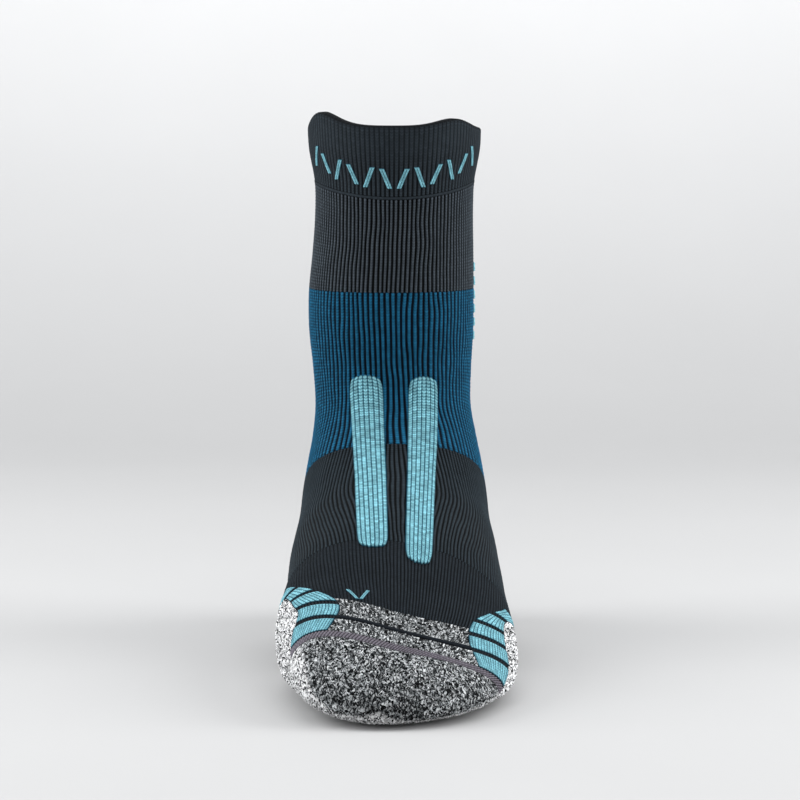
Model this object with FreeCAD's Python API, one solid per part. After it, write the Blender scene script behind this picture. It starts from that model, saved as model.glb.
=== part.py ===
import FreeCAD, Part

import math
import os

# A left-foot trekking sock in its worn shape, knitted in one tube from cuff to toe. Each
# knitting zone, inner pile and raised pad is a solid of its own.
#
# Frame: millimetres, +Z up, sole on Z = 0. The toe points along -Y and the big toe side is -X.
#
# The outer skin is one surface addressed by two numbers. s runs along the sock: 0 is the top
# of the cuff, whole numbers are the STATIONS below, and the last one is the tip of the toe.
# u runs round the tube by arc length: 0 front or top, 0.25 lateral, 0.5 back or sole,
# -0.25 medial. A zone is a stretch of that skin between two depths.

# ---------------------------------------------------------------- driving dimensions, mm
KNIT = 1.5            # thickness of the plain knit
LINING = 1.1          # thickness of the inner layer of the turned welt
PILE = 1.6            # thickness of the terry loops inside heel, sole and toe
ELASTIC = 0.5         # thickness of a laid-in elastic band
ELASTIC_HEIGHT = 1.4  # height of a laid-in elastic band
LAYER_GAP = 0.20      # air between two layers
PAD_PROUD = 1.1       # how far the raised pads stand out of the skin
STRIPE_PROUD = 0.5    # how far wing stripes, motif and side mark stand out
SEAM_PROUD = 0.7      # how far the linked toe seam and the gores stand out
JOIN_PROUD = 0.15     # how far the join of the welt stands out
LIFT = 0.16           # air under a raised part
ZONE_GAP_U = 0.0016   # space between two zones side by side, where the joining stitches are
ZONE_GAP_S = 0.036    # the same between two zones one after another
UNDER_OUTER = KNIT + LAYER_GAP                      # depth of the layers under the outer one
UNDER_ELASTIC = UNDER_OUTER + ELASTIC + LAYER_GAP   # depth of the lining of the welt
WELT_DEPTH = UNDER_ELASTIC + LINING                 # thickness of the whole welt
ELASTIC_BANDS = 5
ACHILLES_BLOCKS = 6
WING_STRIPES = 5
MOTIF_STROKES = 12

# Section stations. front: (y, z) of the shin, instep and toe-top line. back: (y, z) of the
# Achilles, heel and sole line. half: half width on the medial and the lateral side. centre: x
# of the middle. wide: share of the way from front to back where the section is widest.
# full: superellipse powers of the front and back parts. tilt: fall of the top to the lateral.
STATIONS = (
    # front            back             half          centre wide  full         tilt
    ((-45.0, 239.0), (43.5, 241.0), (39.6, 39.4), -2.5, 0.50, (2.2, 2.2), 0.0),
    ((-43.5, 224.0), (41.5, 225.5), (38.8, 38.8), -2.5, 0.50, (2.2, 2.2), 0.0),
    ((-41.0, 209.0), (39.0, 210.5), (36.2, 36.2), -2.5, 0.50, (2.2, 2.2), 0.0),
    ((-40.5, 194.0), (38.5, 195.0), (35.9, 35.9), -2.7, 0.50, (2.2, 2.2), 0.0),
    ((-41.0, 177.0), (38.5, 178.0), (36.6, 36.6), -3.2, 0.50, (2.2, 2.2), 0.0),
    ((-41.5, 159.5), (38.0, 160.0), (37.5, 37.5), -4.0, 0.50, (2.2, 2.2), 0.0),
    ((-41.2, 143.0), (37.0, 142.0), (37.4, 37.4), -4.0, 0.50, (2.2, 2.2), 0.0),
    ((-40.2, 128.0), (36.5, 123.0), (36.1, 36.1), -3.6, 0.50, (2.2, 2.2), 0.0),
    ((-41.2, 114.0), (38.0, 103.0), (35.4, 35.4), -3.2, 0.50, (2.2, 2.2), 0.0),
    ((-45.0, 103.5), (42.0, 84.0), (36.9, 37.6), -2.9, 0.50, (2.2, 2.3), 0.0),
    ((-51.0, 95.5), (48.0, 64.5), (39.6, 40.0), -2.6, 0.50, (2.2, 2.4), 0.0),
    ((-58.5, 89.0), (53.5, 44.0), (42.0, 41.8), -2.3, 0.50, (2.2, 2.4), 0.02),
    ((-67.0, 84.0), (54.0, 20.0), (43.8, 43.0), -2.0, 0.50, (2.2, 2.5), 0.04),
    ((-76.5, 79.5), (36.0, 1.6), (46.2, 45.3), -1.8, 0.50, (2.2, 2.7), 0.06),
    ((-87.0, 75.0), (2.0, -0.8), (47.4, 46.0), -1.6, 0.52, (2.2, 2.9), 0.08),
    ((-98.5, 70.5), (-36.0, 1.0), (47.6, 46.6), -1.4, 0.55, (2.2, 3.1), 0.10),
    ((-111.0, 65.5), (-72.0, 1.2), (47.8, 47.2), -1.2, 0.58, (2.2, 3.2), 0.13),
    ((-124.5, 59.5), (-103.0, -0.6), (49.6, 49.0), -1.0, 0.60, (2.15, 3.3), 0.17),
    ((-140.0, 51.0), (-130.0, -0.9), (50.2, 49.6), -1.0, 0.60, (2.1, 3.3), 0.22),
    ((-156.0, 43.5), (-154.0, -0.9), (48.4, 47.6), -1.0, 0.60, (2.1, 2.9), 0.26),
    ((-174.0, 35.5), (-174.0, -0.8), (43.5, 41.5), -1.5, 0.60, (2.1, 2.4), 0.28),
    ((-189.0, 30.0), (-189.0, -0.3), (38.5, 36.5), -3.0, 0.60, (2.1, 2.2), 0.26),
    ((-200.5, 23.0), (-200.5, 0.8), (29.5, 28.0), -5.0, 0.58, (2.1, 2.1), 0.18),
    ((-208.0, 15.0), (-208.0, 2.8), (16.0, 15.2), -7.0, 0.55, (2.1, 2.0), 0.08),
    ((-211.0, 8.0), (-211.0, 8.0), (0.0, 0.0), -8.0, 0.55, (2.1, 2.1), 0.0),
)
TIP = len(STATIONS) - 1
TIP_END = TIP - 0.05  # the toe closes here with a flat spot a millimetre across
NOSE_START = 21.2     # from here to TIP an inner skin also steps back from the tip
CUFF_STEP = 15        # millimetres from one station to the next at the cuff
HALF_SAMPLES = 72     # samples of one half of a section, for its arc length
RING_POINTS = 84      # points of a closed loop round the sock

# ---------------------------------------------------------------- borders between zones
S_BAND = 4.90         # charcoal rib above, blue ankle band below
S_FLEX = 6.45         # ankle band above, ankle flex zone below
S_FRONT_END = 10.05   # at the front line, blue above and charcoal instep below
S_INSTEP_END = 16.70  # coarse instep rib above, fine forefoot knit below
S_ARCH_END = 16.20    # arch band behind, forefoot cushion in front
S_GORE = 11.78        # line on which the two halves of the heel pocket meet
GORE_HALF = 0.05      # half the width of a gore

# The borders across the toes are bowed. These are their s at the front line.
S_TERRY = 19.50       # terry band across the toes
S_SEAM = 20.15        # linked toe seam
S_TERRY_FRONT = 20.29
S_SMOOTH = 20.90      # smooth band across the toes
S_CAP = 21.18         # toe cap
TOE_BOW = 1.5         # how far the sides of such a border lie behind its front
U_BOW = 0.40          # and where it is straight again

U_SIDE = 0.265        # half width of the instep panel; the heel pocket takes the rest
U_SOLE = 0.335        # side guards above, sole cushion below
U_GORE_END = 0.440    # the gores stop short of the back line

WELT_SIDE, WELT_DROP = 1.95, 0.42      # lower edge of the welt, and how far its front hangs
RIM_HEIGHT, WELT_JOIN_HEIGHT = 0.10, 0.09  # height of the fold and of the join of the welt
RIM_FRONT, RIM_FALL = 0.285, 0.20      # top edge of the cuff, and how much lower its back is
EARS = ((-0.152, 0.43, 0.060), (0.116, 0.23, 0.050))  # u, height and width of its two ears
MOTIF_HALF_U = 0.185
SIDES = {"lateral": 1, "medial": -1}

# Raised instep bars: (inner, outer) edge at the upper end and at the lower end, in mm round
# from the front line, and s of the two ends.
BARS = {
    "instep_bar_medial": ((-3.9, -20.2), (-3.8, -16.5), (7.44, 16.88)),
    "instep_bar_lateral": ((6.8, 21.5), (3.1, 15.2), (7.48, 17.24)),
}

# Distance in u from the front line to the upper edge of a side guard and to the inner edge of
# a toe wing, at places spaced evenly along s. Both run to S_EDGE_END.
S_EDGE_END = 20.90
GUARD_EDGE = {
    "medial": (0.270, 0.268, 0.240, 0.198, 0.184, 0.179, 0.177, 0.212, 0.240, 0.262),
    "lateral": (0.270, 0.268, 0.240, 0.208, 0.207, 0.220, 0.248, 0.270, 0.285, 0.295),
}
WING_EDGE = {
    "medial": (0.215, 0.185, 0.158, 0.130, 0.101, 0.122, 0.150),
    "lateral": (0.215, 0.198, 0.166, 0.142, 0.150, 0.200, 0.225),
}


# ---------------------------------------------------------------- the skin
def catmull(p0, p1, p2, p3, t):
    return 0.5 * (2 * p1 + (p2 - p0) * t + (2 * p0 - 5 * p1 + 4 * p2 - p3) * t * t
                  + (3 * p1 - p0 - 3 * p2 + p3) * t ** 3)


def flat_station(index):
    """One station as a flat list of numbers. Past the cuff it runs on straight, and past the
    tip it is mirrored, which rounds the toe."""
    if index < 0:
        return [2 * a - b for a, b in zip(flat_station(0), flat_station(1))]
    if index > TIP:
        tip = flat_station(TIP)
        mirrored = flat_station(2 * TIP - index)
        for k in (1, 3):
            mirrored[k] = 2 * tip[k] - mirrored[k]
        for k in (4, 5):
            mirrored[k] = -mirrored[k]
        return mirrored
    front, back, half, centre, wide, full, tilt = STATIONS[index]
    return [*front, *back, *half, centre, wide, *full, tilt]


def section_numbers(s):
    """Section numbers at any s, by a smooth curve through the stations."""
    i = max(0, min(TIP - 1, math.floor(s)))
    rows = [flat_station(i + k) for k in (-1, 0, 1, 2)]
    return [catmull(*values, s - i) for values in zip(*rows)]


def power(value, exponent):
    return max(value, 0.0) ** exponent


class Section:
    """One closed section of the skin, sampled so that u is a share of its arc length."""

    def __init__(self, s):
        numbers = section_numbers(s)
        self.front = FreeCAD.Vector(0, *numbers[0:2])
        self.axis = FreeCAD.Vector(0, *numbers[2:4]) - self.front
        self.shape = numbers[4:]
        self.halves = {side: self.sample(side) for side in (1, -1)}

    def contour(self, angle, side):
        """The point at angle 0 (front) to pi (back), on the lateral (1) or medial (-1) side."""
        medial, lateral, centre, wide, full_front, full_back, tilt = self.shape
        in_front = angle < math.pi / 2
        full = full_front if in_front else full_back
        x = side * (lateral if side > 0 else medial) * power(math.sin(angle), 2 / full)
        reach = power(abs(math.cos(angle)), 2 / full)
        share = wide * (1 - reach) if in_front else wide + (1 - wide) * reach
        share += tilt * x * (1 - share) / self.axis.Length
        return self.front + self.axis * share + FreeCAD.Vector(centre + x, 0, 0)

    def sample(self, side):
        points = [self.contour(math.pi * i / HALF_SAMPLES, side) for i in range(HALF_SAMPLES + 1)]
        lengths = [0.0]
        for a, b in zip(points, points[1:]):
            lengths.append(lengths[-1] + a.distanceToPoint(b))
        return points, lengths

    def at(self, u):
        u = (u + 0.5) % 1.0 - 0.5
        points, lengths = self.halves[1 if u >= 0 else -1]
        want = min(abs(u) * 2, 1.0) * lengths[-1]
        low, high = 0, HALF_SAMPLES
        while high - low > 1:
            middle = (low + high) // 2
            if lengths[middle] <= want:
                low = middle
            else:
                high = middle
        part = (want - lengths[low]) / (lengths[high] - lengths[low])
        return points[low] + (points[high] - points[low]) * part


SECTIONS = {}


def section(s):
    key = round(s, 5)
    if key not in SECTIONS:
        SECTIONS[key] = Section(s)
    return SECTIONS[key]


def outer(u, s):
    """A point of the outer skin."""
    return section(s).at(u)


def u_of(distance, s):
    """u of a point so many millimetres round from the front line, lateral positive."""
    lengths = section(s).halves[1 if distance >= 0 else -1][1]
    return 0.5 * distance / lengths[-1]


def skin(u, s, depth=0.0):
    """A point at depth under the outer skin. A negative depth stands proud of it."""
    point = outer(u, s)
    du, ds = 0.008, 0.05
    low, high = max(s - ds, -0.5), min(s + ds, TIP_END)
    round_tube = outer(u + du, s) - outer(u - du, s)
    down_tube = outer(u, high) - outer(u, low)
    inward = down_tube.cross(round_tube)
    inward.normalize()
    return point - inward * depth


# ---------------------------------------------------------------- borders as functions of u
def from_front(u):
    return 0.5 - abs((u % 1.0) - 0.5)


def from_back(u):
    """How far u is from the back line, either way, with the corner at the line rounded off."""
    soft = 0.03
    return math.hypot((u % 1.0) - 0.5, soft) - soft


def rim(u):
    """The top edge of the cuff, with an ear at each side of its front."""
    around = (u + 0.5) % 1.0 - 0.5
    ears = sum(height * math.exp(-((around - middle) / width) ** 2)
               for middle, height, width in EARS)
    return RIM_FRONT + RIM_FALL * math.sin(math.pi * u) ** 2 - ears


def rim_end(u):
    return rim(u) + RIM_HEIGHT


def welt_end(u):
    return WELT_SIDE + WELT_DROP * max(math.cos(2 * math.pi * u), 0.0) ** 2


def welt_join_end(u):
    return welt_end(u) + WELT_JOIN_HEIGHT


def flex_end(u):
    """Lower edge of the ankle flex zone: the instep panel in front, the heel pocket behind."""
    w = from_back(u)
    over_instep = S_FRONT_END + 0.94 * (from_front(u) / U_SIDE) ** 2
    over_heel = 8.75 + 5 * w + 712 * w ** 4
    soft = 0.12
    least = min(over_instep, over_heel)
    return least - soft * math.log(sum(math.exp((least - value) / soft)
                                       for value in (over_instep, over_heel)))


def heel_end(u):
    """Front edge of the heel pocket, under the arch."""
    w = from_back(u)
    return 14.6 - 2.5 * w - 869 * w ** 4


def along_edge(values, s0, s1, s):
    """u of an edge at s, from values evenly spaced from s0 to s1."""
    last = len(values) - 1
    place = max(0.0, min(last, last * (s - s0) / (s1 - s0)))
    i = min(int(place), last - 1)
    near = [values[max(0, min(last, i + k))] for k in (-1, 0, 1, 2)]
    return catmull(*near, place - i)


def guard_edge(side):
    """Upper edge of a side guard: u as a function of s."""
    return lambda s: SIDES[side] * along_edge(GUARD_EDGE[side], S_ARCH_END, S_EDGE_END, s)


def wing_edge(side):
    """Inner edge of a toe wing: u as a function of s."""
    return lambda s: SIDES[side] * along_edge(WING_EDGE[side], S_INSTEP_END, S_EDGE_END, s)


def toe_line(s_front):
    """A bowed border across the toes: s as a function of u."""
    def line(u):
        t = min(from_front(u) / U_BOW, 1.0)
        return s_front - TOE_BOW * t * t * (3 - 2 * t)
    return line


# ---------------------------------------------------------------- solids
def level(value):
    """A border that is straight in u or in s."""
    return lambda other: value


def solid_of(faces):
    shell = Part.makeCompound(faces)
    shell.sewShape(1e-3)
    solid = Part.makeSolid(shell.Shells[0] if shell.Shells else shell)
    if solid.Volume < 0:
        solid.reverse()
    return solid


def loop(points):
    curve = Part.BSplineCurve()
    curve.interpolate(Points=points, PeriodicFlag=True)
    return Part.Wire(curve.toShape())


def annulus(wire_a, wire_b):
    return Part.makeRuledSurface(wire_a.Edges[0], wire_b.Edges[0])


def ring(top, bottom, depth_out, depth_in, rows=3):
    """A closed band of the sock from s = top(u) to s = bottom(u)."""
    gap = ZONE_GAP_S / 2

    def row(b, depth):
        points = []
        for i in range(RING_POINTS):
            u = i / RING_POINTS
            s0, s1 = top(u) + gap, bottom(u) - gap
            points.append(skin(u, s0 + (s1 - s0) * b, depth))
        return loop(points)

    outside, inside = ([row(j / rows, depth) for j in range(rows + 1)]
                       for depth in (depth_out, depth_in))
    walls = [Part.makeLoft(rows_of, False, rows < 2) for rows_of in (outside, inside)]
    return solid_of([*walls[0].Faces, *walls[1].Faces, annulus(outside[0], inside[0]),
                     annulus(outside[-1], inside[-1])])


def patch(borders, depth_out, depth_in, across=12, along=12):
    """A solid under a four-sided piece of skin. borders(a, b) gives (u, s) for a, b in 0..1."""
    surfaces = []
    for depth in (depth_out, depth_in):
        surface = Part.BSplineSurface()
        surface.interpolate([[skin(*borders(i / across, j / along), depth)
                              for j in range(along + 1)] for i in range(across + 1)])
        surfaces.append(surface)
    faces = [surface.toShape() for surface in surfaces]
    u0, u1, v0, v1 = surfaces[0].bounds()
    for value in (u0, u1):
        faces.append(Part.makeRuledSurface(*(f.uIso(value).toShape() for f in surfaces)))
    for value in (v0, v1):
        faces.append(Part.makeRuledSurface(*(f.vIso(value).toShape() for f in surfaces)))
    return solid_of(faces)


def zone(edge0, edge1, top, bottom):
    """Borders of a zone from u = edge0(s) to edge1(s) and from s = top(u) to bottom(u). As u
    and s hang on each other, they are worked out in turn until they settle."""
    def borders(a, b):
        s = (top(0.5) + bottom(0.5)) / 2
        for _ in range(8):
            u0, u1 = edge0(s) + ZONE_GAP_U / 2, edge1(s) - ZONE_GAP_U / 2
            u = u0 + (u1 - u0) * a
            s0, s1 = top(u) + ZONE_GAP_S / 2, bottom(u) - ZONE_GAP_S / 2
            s = s0 + (s1 - s0) * b
        return u, s
    return borders


def above_floor(solid):
    """Cut off what is under the sole plane, which leaves the flat that the sock stands on."""
    size = 400
    below = Part.makeBox(size, size, 20, FreeCAD.Vector(-size / 2, -size / 2, -20))
    return solid.cut(below).Solids[0]


# ---------------------------------------------------------------- cuff and leg
def welt_rim():
    """The fold at the top of the cuff, where the outer layer turns into the lining."""
    return [ring(rim, rim_end, 0, WELT_DEPTH, 1)]


def welt_outer():
    return [ring(rim_end, welt_end, 0, KNIT, 4)]


def welt_lining():
    return [ring(rim_end, welt_end, UNDER_ELASTIC, WELT_DEPTH, 4)]


def welt_elastic():
    """Elastic bands laid in between the two layers of the welt."""
    first, last = 0.66, 1.85
    height = ELASTIC_HEIGHT / CUFF_STEP
    bands = []
    for i in range(ELASTIC_BANDS):
        s = first + (last - first - height) * i / (ELASTIC_BANDS - 1)
        bands.append(ring(level(s), level(s + height), UNDER_OUTER,
                          UNDER_OUTER + ELASTIC, 1))
    return bands


def welt_join():
    """The course that links the turned-in edge of the welt to the leg."""
    return [ring(welt_end, welt_join_end, -JOIN_PROUD, WELT_DEPTH, 1)]


def leg_rib():
    return [ring(welt_join_end, level(S_BAND), 0, KNIT, 6)]


def ankle_band():
    return [ring(level(S_BAND), level(S_FLEX), 0, KNIT, 4)]


def ankle_flex():
    return [ring(level(S_FLEX), flex_end, 0, KNIT, 10)]


def cuff_motif():
    """A row of slanted strokes that follows the hanging front of the welt."""
    pitch = 2 * MOTIF_HALF_U / MOTIF_STROKES
    half_height, half_width, lean = 0.30, 0.0045, 0.0075
    strokes = []
    for i in range(MOTIF_STROKES):
        middle = -MOTIF_HALF_U + pitch * (i + 0.5)
        slant = lean if i % 2 else -lean

        def borders(a, b, middle=middle, slant=slant):
            u = middle + slant * (2 * b - 1) + half_width * (2 * a - 1)
            arc = 1.83 - 0.76 * (middle / MOTIF_HALF_U) ** 2
            return u, arc + half_height * (2 * b - 1)
        strokes.append(patch(borders, -STRIPE_PROUD, -LIFT, 2, 6))
    return strokes


def achilles_pad():
    """Raised blocks stacked over the Achilles tendon."""
    first, last = 4.25, 6.40
    pitch = (last - first) / ACHILLES_BLOCKS
    middle_u, half_u, corner = 0.462, 0.222, 0.25
    blocks = []
    for i in range(ACHILLES_BLOCKS):
        def borders(a, b, s0=first + pitch * i):
            across = 2 * a - 1
            height = pitch * 0.72 * (1 - corner * across ** 6)
            return middle_u + half_u * across, s0 + pitch * 0.36 + height * (b - 0.5)
        blocks.append(patch(borders, -PAD_PROUD, -LIFT, 24, 4))
    return blocks


# ---------------------------------------------------------------- instep and heel
def instep_panel():
    return [patch(zone(level(-U_SIDE), level(U_SIDE), flex_end, level(S_INSTEP_END)),
                  0, KNIT, 32, 28)]


def instep_bar(name):
    """A raised cushion bar from the shin to the end of the instep, with rounded ends."""
    (inner0, outer0), (inner1, outer1), (s0, s1) = BARS[name]

    def borders(a, b):
        end = 1 - 0.14 * (2 * b - 1) ** 30
        inner, edge = inner0 + (inner1 - inner0) * b, outer0 + (outer1 - outer0) * b
        middle, half = (inner + edge) / 2, abs(edge - inner) / 2
        round_end = 0.16 * (1 - abs(2 * a - 1) ** 2.5)
        s = s0 - round_end + (s1 - s0 + 2 * round_end) * b
        return u_of(middle + half * end * (2 * a - 1), s), s
    return [patch(borders, -PAD_PROUD, -LIFT, 8, 40)]


HEEL_EDGES = (level(U_SIDE), level(1 - U_SIDE))


def gore_line(side):
    """The upper (-1) or lower (1) edge of the gores."""
    return level(S_GORE + side * GORE_HALF)


def heel_upper():
    return [patch(zone(*HEEL_EDGES, flex_end, gore_line(-1)), 0, KNIT, 32, 20)]


def heel_lower():
    return [above_floor(patch(zone(*HEEL_EDGES, gore_line(1), heel_end), 0, KNIT, 32, 20))]


def heel_gores():
    """The two ridges where the halves of the heel pocket are knitted together."""
    gores = []
    for u0, u1 in ((U_SIDE, U_GORE_END), (1 - U_GORE_END, 1 - U_SIDE)):
        gores.append(patch(zone(level(u0), level(u1), gore_line(-1), gore_line(1)),
                           -SEAM_PROUD, KNIT, 12, 2))
    return gores


def heel_pile():
    inset = 0.012
    borders = zone(level(U_SIDE + inset), level(1 - U_SIDE - inset),
                   lambda u: flex_end(u) + 0.1, lambda u: heel_end(u) - 0.1)
    return [patch(borders, UNDER_OUTER, UNDER_OUTER + PILE, 32, 36)]


def arch_band():
    return [above_floor(patch(zone(*HEEL_EDGES, heel_end, level(S_ARCH_END)),
                              0, KNIT, 20, 14))]


# ---------------------------------------------------------------- forefoot
def forefoot_panel():
    return [patch(zone(wing_edge("medial"), wing_edge("lateral"), level(S_INSTEP_END),
                       toe_line(S_TERRY)), 0, KNIT, 16, 16)]


def side_zone(side, upper_edge, lower_edge, top, bottom):
    """A zone on one side of the foot, between an upper and a lower edge."""
    edges = (upper_edge, lower_edge) if SIDES[side] > 0 else (lower_edge, upper_edge)
    return zone(*edges, top, bottom)


def wing_panel(side):
    return [patch(side_zone(side, wing_edge(side), guard_edge(side), level(S_INSTEP_END),
                            toe_line(S_SMOOTH)), 0, KNIT, 10, 24)]


def side_guard(side):
    borders = side_zone(side, guard_edge(side), level(SIDES[side] * U_SOLE),
                        level(S_ARCH_END), toe_line(S_CAP))
    return [above_floor(patch(borders, 0, KNIT, 12, 28))]


def wing_stripes(side):
    """Raised stripes across a wing. The last one is wider and touches the smooth band."""
    first, pitch, height, last_height, inset = 18.04, 0.57, 0.43, 0.54, 0.004
    sign = SIDES[side]
    stripes = []
    for i in range(WING_STRIPES):
        start = first + pitch * i
        end = start + (height if i < WING_STRIPES - 1 else last_height)
        borders = side_zone(side, lambda s: wing_edge(side)(s) + sign * inset,
                            lambda s: guard_edge(side)(s) - sign * inset,
                            toe_line(start), toe_line(end))
        stripes.append(patch(borders, -STRIPE_PROUD, -LIFT, 8, 4))
    return stripes


def sole_cushion():
    return [above_floor(patch(zone(level(U_SOLE), level(1 - U_SOLE), level(S_ARCH_END),
                                   toe_line(S_CAP)), 0, KNIT, 18, 24))]


def sole_pile():
    return [patch(zone(level(0.32), level(0.68), level(S_ARCH_END + 0.1),
                       toe_line(S_CAP - 0.1)), UNDER_OUTER, UNDER_OUTER + PILE, 24, 32)]


def side_mark():
    """Two short strokes in a V on the medial side of the forefoot."""
    strokes = []
    for direction in (1, -1):
        def borders(a, b, direction=direction):
            u = -0.066 + direction * (0.003 + 0.014 * b) + 0.003 * (2 * a - 1)
            return u, 19.30 - 0.36 * b
        strokes.append(patch(borders, -STRIPE_PROUD, -LIFT, 2, 4))
    return strokes


# ---------------------------------------------------------------- toe
TOE_STRIPS = {            # s of its back edge, s of its front edge, side edges, depth out
    "toe_terry_back": (S_TERRY, S_SEAM, wing_edge, 0),
    "toe_seam": (S_SEAM, S_TERRY_FRONT, wing_edge, -SEAM_PROUD),
    "toe_terry_front": (S_TERRY_FRONT, S_SMOOTH, wing_edge, 0),
    "toe_smooth_band": (S_SMOOTH, S_CAP, guard_edge, 0),
}


def toe_strip(s0, s1, edge, depth_out):
    borders = zone(edge("medial"), edge("lateral"), toe_line(s0), toe_line(s1))
    return [patch(borders, depth_out, KNIT, 24, 4)]


def toe_skin(u, s, depth):
    """Like skin, but it keeps each section in a plane of constant y, so that the toe can be
    closed. The plane itself steps back by the depth near the tip."""
    centre = (outer(0, s) + outer(0.5, s)) * 0.5
    point = outer(u, s)
    round_tube = outer(u + 0.008, s) - outer(u - 0.008, s)
    inward = FreeCAD.Vector(round_tube.z, 0, -round_tube.x)
    if inward.dot(centre - point) < 0:
        inward = -inward
    inward.normalize()
    lean = math.pi / 2 * max(s - NOSE_START, 0) / (TIP - NOSE_START)
    room = 0.8 * (point - centre).Length
    point += inward * min(depth * math.cos(lean), room)
    point.y += depth * math.sin(lean)
    return point


def toe_cup(s_front, depth_out, depth_in, rows=16):
    """The closed end of the toe from a bowed line on, as a cup."""
    mouth = toe_line(s_front + ZONE_GAP_S / 2)

    def row(b, depth):
        points = []
        for i in range(RING_POINTS):
            u = i / RING_POINTS
            points.append(toe_skin(u, mouth(u) + (TIP_END - mouth(u)) * b, depth))
        return loop(points)

    shells, mouths = [], []
    for depth in (depth_out, depth_in):
        loops = [row(j / rows, depth) for j in range(rows + 1)]
        shells += Part.makeLoft(loops, False).Faces
        shells.append(Part.Face(loops[-1]))
        mouths.append(loops[0])
    return solid_of([*shells, annulus(*mouths)])


def toe_cap():
    return [above_floor(toe_cup(S_CAP, 0, KNIT))]


def toe_cap_pile():
    return [toe_cup(S_CAP + 0.1, UNDER_OUTER, UNDER_OUTER + PILE)]


# ---------------------------------------------------------------- export
def export(name, solids):
    """Write one node. Several solids of one node stay separate in its file."""
    shape = solids[0] if len(solids) == 1 else Part.makeCompound(solids)
    shape.exportStep("parts/" + name + ".step")


def export_all():
    for make in (welt_rim, welt_outer, welt_lining, welt_elastic, welt_join, cuff_motif,
                 leg_rib, ankle_band, ankle_flex, achilles_pad, instep_panel, heel_upper,
                 heel_lower, heel_gores, heel_pile, arch_band, forefoot_panel, sole_cushion,
                 sole_pile, side_mark, toe_cap, toe_cap_pile):
        export(make.__name__, make())
    for name in BARS:
        export(name, instep_bar(name))
    for name, strip in TOE_STRIPS.items():
        export(name, toe_strip(*strip))
    for side in SIDES:
        for make in (wing_panel, side_guard, wing_stripes):
            export(make.__name__ + "_" + side, make(side))


os.makedirs("parts", exist_ok=True)
export_all()
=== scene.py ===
import math

import bmesh
import bpy
import numpy as np
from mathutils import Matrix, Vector


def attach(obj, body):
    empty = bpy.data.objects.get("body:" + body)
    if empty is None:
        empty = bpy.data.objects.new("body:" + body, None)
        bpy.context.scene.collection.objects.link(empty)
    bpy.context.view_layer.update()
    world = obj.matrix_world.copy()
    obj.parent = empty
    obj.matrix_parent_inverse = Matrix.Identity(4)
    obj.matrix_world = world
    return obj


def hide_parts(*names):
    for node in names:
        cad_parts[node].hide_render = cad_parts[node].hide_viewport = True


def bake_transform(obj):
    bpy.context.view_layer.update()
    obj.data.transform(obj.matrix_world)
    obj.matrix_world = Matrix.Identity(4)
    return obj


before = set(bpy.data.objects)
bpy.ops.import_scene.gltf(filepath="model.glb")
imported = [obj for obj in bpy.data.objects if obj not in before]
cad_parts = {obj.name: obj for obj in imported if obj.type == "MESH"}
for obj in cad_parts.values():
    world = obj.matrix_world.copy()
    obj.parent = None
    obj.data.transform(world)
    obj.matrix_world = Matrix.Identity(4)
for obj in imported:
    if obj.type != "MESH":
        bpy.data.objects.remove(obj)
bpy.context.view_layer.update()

# A left-foot trekking sock in its worn shape. Every knitting zone is its own closed panel with
# the ribs, stitches and loops of its knit as geometry, on one skin that is addressed by
# u (round the tube, 0 front, 0.25 lateral, 0.5 back) and s (along it, 0 cuff to TIP toe).
MM = 0.001
NOISE_SEED = 7

# ------ sizes, mm
KNIT, LINING, PILE, ELASTIC = 1.5, 1.1, 1.6, 0.5    # thickness of each layer
LAYER_GAP = 0.20
UNDER_OUTER = KNIT + LAYER_GAP
UNDER_ELASTIC = UNDER_OUTER + ELASTIC + LAYER_GAP
WELT_DEPTH = UNDER_ELASTIC + LINING
ELASTIC_HEIGHT, ELASTIC_BANDS = 1.4, 5
CUFF_STEP = 15                  # from one station to the next at the cuff
PAD_PROUD, STRIPE_PROUD, SEAM_PROUD, JOIN_PROUD = 1.1, 0.5, 0.7, 0.15
PAD_SUNK = 0.10                 # how far a raised pad reaches into the skin
COURSE = 1.3                    # height of one knitted row
PER_COURSE = 2                  # mesh rows in one course
RIDGE_MEAN = 0.7                # mean of a ridge that is 1 at its top
COARSE = 4                      # the plain face of a panel has one cell for this many
FLOOR_GAP = 0.02                # air between the sole and the floor
PREFIX = "knit_"                # piece names: this and the name of the CAD node

# The soft stretches between two bodies. A piece given one of these is attached to no body; its
# transform is baked.
ANKLE = dict(a="foot", b="leg", start=(0, -0.003, 0.094), end=(0, -0.003, 0.157))
BALL = dict(a="foot", b="toe", start=(0, -0.127, 0.024), end=(0, -0.160, 0.024))

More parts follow.
